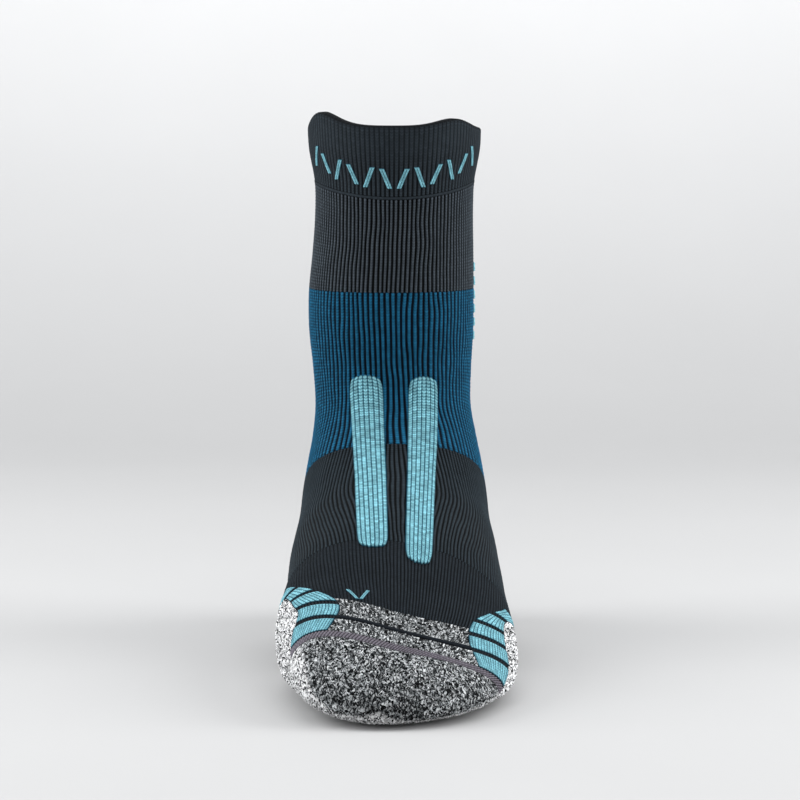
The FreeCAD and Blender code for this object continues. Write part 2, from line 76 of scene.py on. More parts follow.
# Section stations. front and back: (y, z) of the front and the back line. half: half width on
# the medial and the lateral side. centre: x of the middle. wide: share of the way from front
# to back where the section is widest. full: superellipse powers of its front and back parts.
# tilt: fall of the top to the lateral side. TUBE is the last three in the upright leg.
TUBE = (0.50, (2.2, 2.2), 0.0)
STATIONS = (
    # front            back             half          centre wide  full         tilt
    ((-45.0, 239.0), (43.5, 241.0), (39.6, 39.4), -2.5, *TUBE),
    ((-43.5, 224.0), (41.5, 225.5), (38.8, 38.8), -2.5, *TUBE),
    ((-41.0, 209.0), (39.0, 210.5), (36.2, 36.2), -2.5, *TUBE),
    ((-40.5, 194.0), (38.5, 195.0), (35.9, 35.9), -2.7, *TUBE),
    ((-41.0, 177.0), (38.5, 178.0), (36.6, 36.6), -3.2, *TUBE),
    ((-41.5, 159.5), (38.0, 160.0), (37.5, 37.5), -4.0, *TUBE),
    ((-41.2, 143.0), (37.0, 142.0), (37.4, 37.4), -4.0, *TUBE),
    ((-40.2, 128.0), (36.5, 123.0), (36.1, 36.1), -3.6, *TUBE),
    ((-41.2, 114.0), (38.0, 103.0), (35.4, 35.4), -3.2, *TUBE),
    ((-45.0, 103.5), (42.0, 84.0), (36.9, 37.6), -2.9, 0.50, (2.2, 2.3), 0.0),
    ((-51.0, 95.5), (48.0, 64.5), (39.6, 40.0), -2.6, 0.50, (2.2, 2.4), 0.0),
    ((-58.5, 89.0), (53.5, 44.0), (42.0, 41.8), -2.3, 0.50, (2.2, 2.4), 0.02),
    ((-67.0, 84.0), (54.0, 20.0), (43.8, 43.0), -2.0, 0.50, (2.2, 2.5), 0.04),
    ((-76.5, 79.5), (36.0, 1.6), (46.2, 45.3), -1.8, 0.50, (2.2, 2.7), 0.06),
    ((-87.0, 75.0), (2.0, -0.8), (47.4, 46.0), -1.6, 0.52, (2.2, 2.9), 0.08),
    ((-98.5, 70.5), (-36.0, 1.0), (47.6, 46.6), -1.4, 0.55, (2.2, 3.1), 0.10),
    ((-111.0, 65.5), (-72.0, 1.2), (47.8, 47.2), -1.2, 0.58, (2.2, 3.2), 0.13),
    ((-124.5, 59.5), (-103.0, -0.6), (49.6, 49.0), -1.0, 0.60, (2.15, 3.3), 0.17),
    ((-140.0, 51.0), (-130.0, -0.9), (50.2, 49.6), -1.0, 0.60, (2.1, 3.3), 0.22),
    ((-156.0, 43.5), (-154.0, -0.9), (48.4, 47.6), -1.0, 0.60, (2.1, 2.9), 0.26),
    ((-174.0, 35.5), (-174.0, -0.8), (43.5, 41.5), -1.5, 0.60, (2.1, 2.4), 0.28),
    ((-189.0, 30.0), (-189.0, -0.3), (38.5, 36.5), -3.0, 0.60, (2.1, 2.2), 0.26),
    ((-200.5, 23.0), (-200.5, 0.8), (29.5, 28.0), -5.0, 0.58, (2.1, 2.1), 0.18),
    ((-208.0, 15.0), (-208.0, 2.8), (16.0, 15.2), -7.0, 0.55, (2.1, 2.0), 0.08),
    ((-211.0, 8.0), (-211.0, 8.0), (0.0, 0.0), -8.0, 0.55, (2.1, 2.1), 0.0),
)
TIP = len(STATIONS) - 1
TIP_END = TIP - 0.05

# Borders between zones, in s and u. Those across the toes are bowed and given at the front.
S_BAND, S_FLEX, S_FRONT_END, S_GORE = 4.90, 6.45, 10.05, 11.78
S_INSTEP_END, S_ARCH_END, S_EDGE_END = 16.70, 16.20, 20.90
S_TERRY, S_SEAM, S_TERRY_FRONT, S_SMOOTH, S_CAP = 19.50, 20.15, 20.29, 20.90, 21.18
TOE_BOW, U_BOW = 1.5, 0.40      # how far the sides of such a border lie back, and from where
U_SIDE, U_SOLE, U_GORE_END = 0.265, 0.335, 0.440
SIDES = {"lateral": 1, "medial": -1}

# Instep bars: (inner, outer) edge in mm round from the front line, at the upper and the lower
# end, and s of the two ends.
BARS = {
    "instep_bar_medial": ((-3.9, -20.2), (-3.8, -16.5), (7.44, 16.88)),
    "instep_bar_lateral": ((6.8, 21.5), (3.1, 15.2), (7.48, 17.24)),
}

# Distance in u from the front line to the upper edge of a side guard and to the inner edge of
# a toe wing, at places spaced evenly along s. Both run to S_EDGE_END.
GUARD_EDGE = {
    "medial": (0.270, 0.268, 0.240, 0.198, 0.184, 0.179, 0.177, 0.212, 0.240, 0.262),
    "lateral": (0.270, 0.268, 0.240, 0.208, 0.207, 0.220, 0.248, 0.270, 0.285, 0.295),
}
WING_EDGE = {
    "medial": (0.215, 0.185, 0.158, 0.130, 0.101, 0.122, 0.150),
    "lateral": (0.215, 0.198, 0.166, 0.142, 0.150, 0.200, 0.225),
}

# Top and front border of the heel pocket, as s = first + second * w + third * w ** 4, where w
# is the distance in u from the back line.
HEEL_TOP, HEEL_FRONT = (8.75, 5, 712), (14.6, -2.5, -869)
INSTEP_BOW = 0.94               # how much lower the flex zone ends at the sides of the instep

RIM_FRONT, RIM_FALL = 0.285, 0.20     # top edge of the cuff, and how much lower its back is
EARS = ((-0.152, 0.43, 0.060), (0.116, 0.23, 0.050))  # u, height and width of its two ears
RIM_HEIGHT, JOIN_HEIGHT, GORE_HALF = 0.10, 0.09, 0.05
WELT_SIDE, WELT_DROP = 1.95, 0.42     # lower edge of the welt, and how far its front hangs


# ------ the skin
def catmull(p0, p1, p2, p3, t):
    """A smooth curve from p1 to p2, which fits the points before and after them."""
    return 0.5 * (2 * p1 + (p2 - p0) * t + (2 * p0 - 5 * p1 + 4 * p2 - p3) * t * t
                  + (3 * p1 - p0 - 3 * p2 + p3) * t ** 3)


def flat_station(index):
    """A station as a flat row of numbers; straight on past the cuff, mirrored past the tip."""
    if index < 0:
        return 2 * flat_station(0) - flat_station(1)
    if index > TIP:
        tip, row = flat_station(TIP), flat_station(2 * TIP - index)
        heights, halves = [1, 3], [4, 5]
        row[heights] = 2 * tip[heights] - row[heights]
        row[halves] *= -1
        return row
    front, back, half, centre, wide, full, tilt = STATIONS[index]
    return np.array([*front, *back, *half, centre, wide, *full, tilt])


def section_contour(numbers, angle, side):
    """Points of every section (rows) at every angle (columns), on one side of the sock."""
    columns = [column[:, None] for column in numbers.T]
    front_y, front_z, back_y, back_z, medial, lateral, centre, wide, full_f, full_b, tilt = columns
    in_front = angle < math.pi / 2
    full = np.where(in_front, full_f, full_b)
    half = lateral if side > 0 else medial
    x = side * half * np.maximum(np.sin(angle), 0) ** (2 / full)
    reach = np.abs(np.cos(angle)) ** (2 / full)
    share = np.where(in_front, wide * (1 - reach), wide + (1 - wide) * reach)
    length = np.maximum(np.hypot(back_y - front_y, back_z - front_z), 1e-6)
    share = share + tilt * x * (1 - share) / length
    y = front_y + (back_y - front_y) * share
    z = front_z + (back_z - front_z) * share
    return np.stack([centre + x, y, z], axis=-1)


class Skin:
    """The outer skin and its normals on a fine grid, looked up at any u and s."""

    S0, STEP, COLUMNS, SAMPLES = -0.5, 0.02, 1024, 160

    def __init__(self):
        self.s = np.arange(self.S0, TIP + self.STEP / 2, self.STEP)
        self.points = self.make_points(self.s)
        self.normals = self.make_normals(self.points[:, :-1])
        self.round = np.linalg.norm(np.diff(self.points, axis=1), axis=2).sum(axis=1)

    def make_points(self, s):
        """Rows of points at s, spaced evenly round each section from back to back."""
        stations = np.array([flat_station(k) for k in range(-1, TIP + 2)])
        i = np.clip(np.floor(s), 0, TIP - 1).astype(int)
        numbers = catmull(*(stations[i + k] for k in range(4)), (s - i)[:, None])
        angle = np.linspace(0, math.pi, self.SAMPLES + 1)
        half = self.COLUMNS // 2
        grid = np.empty((len(s), self.COLUMNS + 1, 3))
        for side in (1, -1):
            points = section_contour(numbers, angle, side)
            steps = np.linalg.norm(np.diff(points, axis=1), axis=2)
            lengths = np.concatenate([np.zeros((len(s), 1)), np.cumsum(steps, axis=1)], axis=1)
            for row in range(len(s)):
                want = np.linspace(0, lengths[row, -1], half + 1)
                line = np.stack([np.interp(want, lengths[row], points[row, :, k])
                                 for k in range(3)], axis=-1)
                if side > 0:
                    grid[row, half:] = line
                else:
                    grid[row, :half + 1] = line[::-1]
        return grid

    def make_normals(self, ring):
        round_tube = np.roll(ring, -3, axis=1) - np.roll(ring, 3, axis=1)
        down_tube = np.gradient(ring, axis=0)
        normals = np.cross(down_tube, round_tube)
        normals /= np.maximum(np.linalg.norm(normals, axis=2, keepdims=True), 1e-9)
        normals[-1] = (0, -1, 0)
        return np.concatenate([normals, normals[:, :1]], axis=1)

    def look_up(self, table, u, s):
        row = np.clip((s - self.S0) / self.STEP, 0, len(self.s) - 1.001)
        column = ((u + 0.5) % 1.0) * self.COLUMNS
        i, j = row.astype(int), np.minimum(column.astype(int), self.COLUMNS - 1)
        a, b = (row - i)[..., None], (column - j)[..., None]
        return ((table[i, j] * (1 - b) + table[i, j + 1] * b) * (1 - a)
                + (table[i + 1, j] * (1 - b) + table[i + 1, j + 1] * b) * a)

    def at(self, u, s, height):
        """Points that stand height (mm) out of the skin, never under the floor."""
        u, s = np.broadcast_arrays(u, s)
        point = self.look_up(self.points, u, s)
        normal = self.look_up(self.normals, u, s)
        point = point + normal * np.asarray(height)[..., None]
        lowest = FLOOR_GAP + np.maximum(-np.asarray(height), 0)
        point[..., 2] = np.maximum(point[..., 2], lowest)
        return point

    def ruler(self, u):
        """Length along the skin at u, for every row of the table."""
        column = int(((u + 0.5) % 1.0) * self.COLUMNS)
        steps = np.linalg.norm(np.diff(self.points[:, column], axis=0), axis=1)
        return np.concatenate([[0], np.cumsum(np.maximum(steps, 1e-6))])

    def u_of(self, distance, s):
        """u of a point this many mm round from the front line, lateral positive."""
        return distance / np.interp(s, self.s, self.round)


SKIN = Skin()


# ------ borders
def from_front(u):
    return 0.5 - np.abs((u % 1.0) - 0.5)


def from_back(u):
    """How far u is from the back line, with the corner at the line rounded off."""
    soft = 0.03
    return np.hypot((u % 1.0) - 0.5, soft) - soft


def rim(u):
    """The top edge of the cuff, with an ear at each side of its front."""
    around = (u + 0.5) % 1.0 - 0.5
    ears = sum(height * np.exp(-((around - middle) / width) ** 2)
               for middle, height, width in EARS)
    return RIM_FRONT + RIM_FALL * np.sin(math.pi * u) ** 2 - ears


def rim_end(u):
    return rim(u) + RIM_HEIGHT


def welt_end(u):
    return WELT_SIDE + WELT_DROP * np.maximum(np.cos(2 * math.pi * u), 0) ** 2


def join_end(u):
    return welt_end(u) + JOIN_HEIGHT


def heel_border(numbers, w):
    first, second, third = numbers
    return first + second * w + third * w ** 4


def flex_end(u):
    """Lower edge of the ankle flex zone: the instep panel in front, the heel pocket behind,
    with the corner between them rounded off."""
    over_instep = S_FRONT_END + INSTEP_BOW * (from_front(u) / U_SIDE) ** 2
    over_heel = heel_border(HEEL_TOP, from_back(u))
    soft = 0.12
    least = np.minimum(over_instep, over_heel)
    return least - soft * np.log(np.exp((least - over_instep) / soft)
                                 + np.exp((least - over_heel) / soft))


def heel_end(u):
    """Front edge of the heel pocket, under the arch."""
    return heel_border(HEEL_FRONT, from_back(u))


def along_edge(values, s0, s1, s):
    """u of an edge at s, from values evenly spaced from s0 to s1."""
    values = np.array(values)
    last = len(values) - 1
    place = np.clip(last * (s - s0) / (s1 - s0), 0, last)
    i = np.minimum(place.astype(int), last - 1)
    near = [values[np.clip(i + k, 0, last)] for k in (-1, 0, 1, 2)]
    return catmull(*near, place - i)


def guard_edge(side):
    return lambda s: SIDES[side] * along_edge(GUARD_EDGE[side], S_ARCH_END, S_EDGE_END, s)


def wing_edge(side):
    return lambda s: SIDES[side] * along_edge(WING_EDGE[side], S_INSTEP_END, S_EDGE_END, s)


def toe_line(s_front):
    """A bowed border across the toes: s as a function of u."""
    def line(u):
        t = np.minimum(from_front(u) / U_BOW, 1.0)
        return s_front - TOE_BOW * t * t * (3 - 2 * t)
    return line


# ------ noise and stitches
def cell_noise(i, j, seed=0):
    """A steady random number in 0..1 for every pair of whole numbers."""
    value = np.sin(i * 127.1 + j * 311.7 + (seed + NOISE_SEED) * 74.7) * 43758.5453
    return value - np.floor(value)


def smooth_noise(x, y, seed=0):
    """Smooth random numbers in a plane, 0..1, with one cell per unit."""
    i, j = np.floor(x), np.floor(y)
    a, b = x - i, y - j
    a, b = a * a * (3 - 2 * a), b * b * (3 - 2 * b)
    low = cell_noise(i, j, seed) * (1 - a) + cell_noise(i + 1, j, seed) * a
    high = cell_noise(i, j + 1, seed) * (1 - a) + cell_noise(i + 1, j + 1, seed) * a
    return low * (1 - b) + high * b


def solid_noise(points, seed=0):
    """Smooth random numbers in space, 0..1, with one cell per unit."""
    layer = np.floor(points[..., 2])
    part = points[..., 2] - layer
    part = part * part * (3 - 2 * part)
    x, y = points[..., 0], points[..., 1]
    return (smooth_noise(x + 17.3 * layer, y, seed) * (1 - part)
            + smooth_noise(x + 17.3 * (layer + 1), y, seed) * part)


def smoothstep(low, high, value):
    t = np.clip((value - low) / (high - low), 0, 1)
    return t * t * (3 - 2 * t)


class Knit:
    """How a zone is knitted: its wales round the tube and the relief of a rib and a stitch.

    wales: how many go round; rib: height of a rib; flat: how much of it is lost at the sides
    of the leg; stitch: height of one stitch; power: fullness of a rib; slant: how deep the V
    of a stitch hangs; loop: height of random loops; tuck: offset of every other wale; wander:
    how far wales stray; lean: wales that run across the courses; samples: mesh columns per
    wale."""

    DRIFT = (0.35, 0.12)        # cells of the drift's noise in one wale and in one course

    def __init__(self, wales, rib, stitch, power=0.9, slant=0.5, loop=0.0, tuck=0.0,
                 samples=4, wander=0.0, lean=0.0, flat=0.0):
        self.wales, self.rib, self.stitch, self.power = wales, rib, stitch, power
        self.slant, self.loop, self.tuck, self.samples = slant, loop, tuck, samples
        self.wander, self.lean, self.flat = wander, lean, flat

    def place(self, wale, course):
        """Wale number of a point, with the drift of the wales, which closes round the tube."""
        turn = 2 * math.pi * wale / self.wales
        per_wale, per_course = self.DRIFT
        radius = per_wale * self.wales / (2 * math.pi)
        place = np.stack([radius * np.cos(turn), radius * np.sin(turn), per_course * course],
                         axis=-1)
        return wale + self.wander * (solid_noise(place, 3) - 0.5) + self.lean * course

    def shift(self, wale, course):
        """How far a stitch is moved along the wale, in courses, which makes its V."""
        wale = self.place(wale, course)
        p = wale - np.floor(wale)
        return self.slant * (np.abs(2 * p - 1) - 0.5) + self.tuck * (np.floor(wale) % 2)

    def height(self, wale, course, u):
        wale = self.place(wale, course)
        i, p = np.floor(wale), wale - np.floor(wale)
        row = course + self.tuck * (i % 2)
        j, q = np.floor(row), row - np.floor(row)
        ridge = np.sin(math.pi * p) ** self.power
        body = np.sin(math.pi * q) ** 0.8
        uneven = 0.75 + 0.5 * cell_noise(i, j, 1)
        rib = self.rib * (1 - self.flat * np.sin(2 * math.pi * u) ** 2)
        loops = self.loop * (cell_noise(i, j, 2) - 0.4) * np.sqrt(ridge * body)
        return rib * (ridge - RIDGE_MEAN) + self.stitch * (body * ridge * uneven - 0.5) + loops


# In order: wales, rib, stitch, power, slant.
LEG = Knit(120, 0.90, 0.16, 1.5, 0.5, samples=6, wander=0.45, flat=0.65)
WELT = Knit(120, 0.17, 0.12, 1.2, 0.5, samples=6, wander=0.20)
BLUE_RIB = Knit(100, 0.80, 0.30, 1.4, 0.6, tuck=0.5, samples=6, wander=0.60, flat=0.70)
INSTEP = Knit(160, 0.66, 0.18, 1.3, 0.5, samples=5, wander=0.45, flat=0.40)
FINE = Knit(176, 0.42, 0.20, 1.2, 0.5, wander=0.30)
TERRY = Knit(144, 0.10, 0.16, 0.8, 0.4, loop=0.95, wander=0.9)
SEAM = Knit(288, 0.14, 0.10, 0.8, 0.3, lean=0.5, samples=2)
DIAGONAL = Knit(144, 0.65, 0.05, 1.2, 0.0, lean=0.6, samples=6)
CHAIN = Knit(7, 0.0, 0.0, slant=0.8)
INNER = Knit(144, 0.0, 0.0, samples=1)


# ------ panels
class Zone:
    """A four-sided stretch of skin: from u = edge0(s) to edge1(s), s = top(u) to bottom(u).
    Its courses are counted along one line, in its middle or, in a ring, at RING_RULER_U."""

    RING_RULER_U = 0.12

    def __init__(self, edge0, edge1, top, bottom, closed=False):
        self.edge0, self.edge1 = as_border(edge0), as_border(edge1)
        self.top, self.bottom, self.closed = as_border(top), as_border(bottom), closed
        u, s = 0.0, 0.5 * (self.top(0.5) + self.bottom(0.5))
        for _ in range(6):
            u = 0.5 * (self.edge0(s) + self.edge1(s))
            s = 0.5 * (self.top(u) + self.bottom(u))
        self.middle = (self.RING_RULER_U if closed else float(u), float(s))
        self.ruler = SKIN.ruler(self.middle[0])
        ends = [float(end(self.middle[0])) for end in (self.top, self.bottom)]
        self.length = float(np.diff(np.interp(ends, SKIN.s, self.ruler))[0])
        s = np.linspace(*ends, 9)
        self.width = float(np.max(self.edge1(s) - self.edge0(s)))

    def courses(self):
        return max(1, round(self.length / COURSE))

    def columns(self, knit):
        return int(round(self.width * knit.wales * knit.samples))

    def map(self, a, b, shift=0.0):
        """(u, s) at a, b in 0..1; shift moves the points along the wales, in mm."""
        s = np.full(np.shape(a), self.middle[1])
        for _ in range(5):
            u0, u1 = self.edge0(s), self.edge1(s)
            u = u0 + (u1 - u0) * a
            start = np.interp(self.top(u), SKIN.s, self.ruler)
            end = np.interp(self.bottom(u), SKIN.s, self.ruler)
            s = np.interp(start + (end - start) * b + shift, self.ruler, SKIN.s)
        return u, s

    def wale(self, a, u, knit):
        return u * knit.wales


class Pad:
    """A small raised patch with wales and courses of its own. borders(a, b) gives (u, s)."""

    closed = False

    def __init__(self, borders, wales, courses, samples=6):
        self.borders, self.wales, self.count, self.samples = borders, wales, courses, samples

    def courses(self):
        return self.count

    def columns(self, knit):
        return self.wales * self.samples

    def map(self, a, b, shift=0.0):
        return self.borders(a, b + shift / (self.count * COURSE))

    def wale(self, a, u, knit):
        return a * self.wales


def as_border(value):
    """A border as a function; a number stands for one that is straight in u or in s."""
    if callable(value):
        return value
    return lambda x: np.full(np.shape(x), float(value))


def ring_zone(top, bottom):
    return Zone(-0.5, 0.5, top, bottom, closed=True)


def side_zone(side, upper, lower, top, bottom):
    """A zone on one side of the foot, between an upper and a lower edge."""
    edges = (upper, lower) if SIDES[side] > 0 else (lower, upper)
    return Zone(*edges, top, bottom)


def panel(name, zone, knit, *, inner=-KNIT, lift=0.0, relief=None, rows=None, columns=None,
          inside_out=False, capped=False, tones=(-0.32, 0.30), fade=("top", "bottom"),
          first_course=0):
    """A closed panel. One face is knitted, the other is plain, and walls run round the border.

    The knitted face stands at height lift plus its relief, the plain one at height inner.
    inside_out puts the knitted face on the inside of the sock. tones are the heights at which the
    painted shade is darkest and the painted light brightest: the relief is painted darker where
    it is low. fade names the borders where the stitches even out, and first_course lets the
    courses of one zone run on into the next."""
    courses = zone.courses()
    rows = rows or PER_COURSE * courses
    rows += (-rows) % COARSE
    columns = max(COARSE, columns or zone.columns(knit))
    columns += (-columns) % COARSE
    a = np.arange(columns + (0 if zone.closed else 1)) / columns
    a, b = np.meshgrid(a, np.arange(rows + 1) / rows)
    from_top, from_bottom = b * rows / PER_COURSE, (1 - b) * rows / PER_COURSE
    edge_fade = np.minimum(np.clip(from_top, 0, 1) if "top" in fade else 1.0,
                           np.clip(from_bottom, 0, 1) if "bottom" in fade else 1.0)
    course = first_course + b * courses
    u, s = zone.map(a, b)
    shift = knit.shift(zone.wale(a, u, knit), course)
    u, s = zone.map(a, b, -shift * edge_fade * COURSE)
    wale = zone.wale(a, u, knit)
    height = knit.height(wale, course, u)
    if relief:
        height = height + relief(u, s, a, b)
    sign = -1 if inside_out else 1
    knitted = SKIN.at(u, s, lift + sign * height)
    step = slice(None, None, COARSE)
    plain = SKIN.at(u[step, step], s[step, step], np.full(u[step, step].shape, float(inner)))
    obj = closed_grid(name, knitted, plain, zone.closed, inside_out, capped)
    # Painted shade and light by height: low parts of the relief are painted darker, high parts
    # lighter.
    tone = smoothstep(*tones, height)
    for key, values in (("wale", knit.place(wale, course)), ("course", course + shift),
                        ("tone", tone)):
        flat = [values.ravel(), values[step, step].ravel()]
        set_attribute(obj, key, np.concatenate(flat))
    return obj


def grid_faces(rows, columns, start, width, flip):
    """Quads of a grid of vertices stored row by row."""
    i, j = np.meshgrid(np.arange(rows), np.arange(columns), indexing="ij")
    k = (j + 1) % width
    a, b = start + i * width + j, start + i * width + k
    c, d = start + (i + 1) * width + k, start + (i + 1) * width + j
    quads = np.stack([a, b, c, d] if flip else [a, d, c, b], axis=-1)
    return quads.reshape(-1, 4).tolist()


def closed_grid(name, knitted, plain, closed, inside_out, capped):
    """Mesh of a fine and a coarse grid with walls between their borders. A capped ring is
    shut at its last row instead. Only the two grids are shaded smooth."""
    width, width_in = knitted.shape[1], plain.shape[1]
    rows, columns = knitted.shape[0] - 1, width - (0 if closed else 1)
    rows_in, columns_in = rows // COARSE, columns // COARSE
    base = knitted.shape[0] * width
    faces = grid_faces(rows, columns, 0, width, False)
    faces += grid_faces(rows_in, columns_in, base, width_in, True)
    smooth_count = len(faces)
    ends = ((0, 0, 1),) if capped else ((0, 0, 1), (rows, rows_in, -1))
    for row, row_in, turn in ends:
        for j in range(columns_in):
            fine = [row * width + (j * COARSE + k) % width for k in range(COARSE + 1)]
            wide = [base + row_in * width_in + (j + k) % width_in for k in (1, 0)]
            faces.append((fine + wide)[::turn])
    if capped:
        faces.append([rows * width + j for j in range(width)])
        faces.append([base + rows_in * width_in + j for j in range(width_in)][::-1])
    if not closed:
        for column, column_in, turn in ((0, 0, -1), (columns, columns_in, 1)):
            for i in range(rows_in):
                fine = [(i * COARSE + k) * width + column for k in range(COARSE + 1)]
                wide = [base + (i + k) * width_in + column_in for k in (1, 0)]
                faces.append((fine + wide)[::turn])
    if inside_out:
        faces = [face[::-1] for face in faces]
    points = np.concatenate([knitted.reshape(-1, 3), plain.reshape(-1, 3)]) * MM
    return mesh_object(name, points, faces, smooth_count)


def add_object(name, data):
    obj = bpy.data.objects.new(name, data)
    bpy.context.scene.collection.objects.link(obj)
    return obj


def mesh_object(name, points, faces, smooth_count):
    mesh = bpy.data.meshes.new(PREFIX + name)
    mesh.from_pydata(points, [], faces)
    mesh.validate()
    smooth = np.arange(len(mesh.polygons)) < smooth_count
    mesh.polygons.foreach_set("use_smooth", smooth)
    return add_object(PREFIX + name, mesh)


def set_attribute(obj, name, values):
    attribute = obj.data.attributes.new(name, "FLOAT", "POINT")
    attribute.data.foreach_set("value", np.asarray(values, dtype=np.float32).ravel())


# ------ materials
class Graph:
    """Short hand for a material's node tree."""

    def __init__(self, name):
        self.material = bpy.data.materials.new(name)
        self.material.use_nodes = True
        self.nodes = self.material.node_tree.nodes
        self.links = self.material.node_tree.links
        self.shader = self.nodes["Principled BSDF"]

    def put(self, socket, value):
        if isinstance(value, bpy.types.NodeSocket):
            self.links.new(value, socket)
        elif isinstance(value, tuple) and len(value) == 3 and socket.type == "RGBA":
            socket.default_value = (*value, 1.0)
        else:
            socket.default_value = value

    def node(self, kind, inputs=None, output=0, **settings):
        node = self.nodes.new("ShaderNode" + kind)
        for key, value in settings.items():
            setattr(node, key, value)
        for key, value in (inputs or {}).items():
            self.put(node.inputs[key], value)
        return node.outputs[output]

    def vector_math(self, operation, a, b):
        return self.node("VectorMath", {0: a, 1: b}, operation=operation)

    def set_shader(self, inputs):
        for key, value in inputs.items():
            self.put(self.shader.inputs[key], value)

    def math(self, operation, *values, clamp=False):
        return self.node("Math", dict(enumerate(values)), operation=operation,
                         use_clamp=clamp)

    def line(self, value, slope, start, clamp=False):
        """value * slope + start"""
        return self.math("MULTIPLY_ADD", value, slope, start, clamp=clamp)

    def product(self, a, b, clamp=False):
        return self.math("MULTIPLY", a, b, clamp=clamp)

    def grey(self, value):
        return self.node("CombineColor", {0: value, 1: value, 2: value})

    def attribute(self, name):
        return self.node("Attribute", output="Fac", attribute_name=name)

    def vector(self, x, y, z=0.0):
        return self.node("CombineXYZ", {0: x, 1: y, 2: z})

    def mix(self, factor, a, b, blend="MIX"):
        """Mix of two colours, through the colour sockets of the node: 6, 7 and output 2."""
        node = self.nodes.new("ShaderNodeMix")
        node.data_type, node.blend_type = "RGBA", blend
        self.put(node.inputs["Factor"], factor)
        self.put(node.inputs[6], a)
        self.put(node.inputs[7], b)
        return node.outputs[2]

    def texture_place(self, wale, course, per_wale, per_course):
        """A place in the knit, with this many noise cells in one wale and in one course."""
        return self.vector(self.product(wale, per_wale), self.product(course, per_course))

    def white_noise(self, x, y, seed=0.0):
        return self.node("TexWhiteNoise", {"Vector": self.vector(x, y, seed)},
                         output="Value", noise_dimensions="3D")

    def noise(self, vector, scale, detail=2.0, roughness=0.5):
        return self.node("TexNoise", {"Vector": vector, "Scale": scale, "Detail": detail,
                                      "Roughness": roughness})


def srgb(*values):
    """Linear colour from 0..255 screen values."""
    shares = (value / 255 for value in values)
    return tuple(v / 12.92 if v <= 0.04045 else ((v + 0.055) / 1.055) ** 2.4 for v in shares)


def stitch_graph(g):
    """Place in the stitch, and how far a point is on its two legs, 0 to 1."""
    wale, course = g.attribute("wale"), g.attribute("course")
    p = g.math("FRACT", wale)
    q = g.math("FRACT", course)
    leg = g.math("ABSOLUTE", g.math("SINE", g.product(p, 2 * math.pi)))
    row = g.math("ABSOLUTE", g.math("SINE", g.product(q, math.pi)))
    stitch = g.product(g.math("POWER", leg, 0.6), g.math("POWER", row, 0.7))
    return wale, course, stitch


def knit_material(name, light, groove_shade, vary=0.12):
    """Plain yarn: painted shade in the grooves and between the legs of each stitch, painted light
    on its ridges, a random lightness per stitch, fine fibres along the yarn. The two colours are
    0..255 screen values: the yarn's lit colour and the painted shade of its grooves."""
    g = Graph(name)
    wale, course, stitch = stitch_graph(g)
    cell = g.white_noise(g.math("FLOOR", wale), g.math("FLOOR", course))
    fibres = g.noise(g.texture_place(wale, course, 14.0, 5.0), 1.0, 3.0, 0.6)
    cloud = g.noise(g.texture_place(wale, course, 0.12, 0.08), 1.0, 2.0)
    # Painted light on the ridges and the stitch legs, painted shade in the grooves and between the
    # legs.
    lit = g.product(g.attribute("tone"), g.line(stitch, 0.55, 0.55), clamp=True)
    colour = g.mix(lit, srgb(*groove_shade), srgb(*light))
    shade = g.line(g.math("SUBTRACT", cell, 0.5), 2 * vary, 1.0)
    shade = g.product(shade, g.line(fibres, 0.5, 0.75))
    shade = g.product(shade, g.line(cloud, 0.3, 0.85))
    colour = g.mix(1.0, colour, g.grey(shade), "MULTIPLY")
    finish_fabric(g, colour, stitch, fibres, sheen=0.12, bump=0.45, rough=0.85)
    return g.material


def shade_ramp(g, value, shades):
    """Colour of a value in 0..1, from (place, screen colour) pairs."""
    ramp = g.nodes.new("ShaderNodeValToRGB")
    elements = ramp.color_ramp.elements
    while len(elements) < len(shades):
        elements.new(0.5)
    for element, (place, colour) in zip(elements, shades):
        element.position = place
        element.color = (*srgb(*colour), 1.0)
    g.put(ramp.inputs[0], value)
    return ramp.outputs[0]


def terry_material(name, shades, solid=False, other=None):
    """Melange loops: every loop takes one of the yarn's shades by chance. solid spreads the
    loops in space instead of along the wales, and other gives a second set of shades, used
    where the piece's attribute "pale" is 1."""
    g = Graph(name)
    wale, course, stitch = stitch_graph(g)
    if solid:
        per_metre = (1200.0, 850.0, 850.0)
        place = g.vector_math("MULTIPLY", g.node("TexCoord", output="Object"), per_metre)
    else:
        place = g.texture_place(wale, course, 1.9, 1.0)
    bend = g.node("TexNoise", {"Vector": place, "Scale": 0.55, "Detail": 2.0}, output="Color")
    bend = g.vector_math("MULTIPLY", bend, (2.6, 2.6, 2.6))
    place = g.vector_math("ADD", place, bend)
    picks = []
    for scale in (1.6, 3.4):
        cell = g.node("TexVoronoi", {"Vector": place, "Scale": scale}, output="Color")
        picks.append(g.node("SeparateColor", {0: cell}))
    pick = g.math("ADD", g.product(picks[0], 0.8), g.product(picks[1], 0.2))
    fibres = g.noise(place, 7.0, 3.0, 0.65)
    colour = shade_ramp(g, pick, shades)
    if other:
        colour = g.mix(g.attribute("pale"), colour, shade_ramp(g, pick, other))
    # Painted shade on the low loops and painted light on the high ones, times the streaks of the
    # fibres.
    shade = g.product(g.line(g.attribute("tone"), 0.7, 0.5), g.line(fibres, 0.6, 0.7))
    colour = g.mix(1.0, colour, g.grey(shade), "MULTIPLY")
    finish_fabric(g, colour, stitch, fibres, sheen=0.05, bump=0.8, rough=0.92)
    return g.material


def finish_fabric(g, colour, stitch, fibres, sheen, bump, rough):
    """Connect a yarn's colour, its fine relief, its roughness and its sheen."""
    relief = g.math("ADD", g.product(stitch, 0.8), g.product(fibres, 0.35))
    normal = g.node("Bump", {"Strength": bump, "Distance": 0.00035, "Height": relief})
    roughness = g.line(fibres, 0.2, rough - 0.1, clamp=True)
    g.set_shader({"Base Color": colour, "Roughness": roughness, "Normal": normal,
                  "Sheen Weight": sheen, "Sheen Tint": colour, "Sheen Roughness": 0.5,
                  "Specular IOR Level": 0.10})
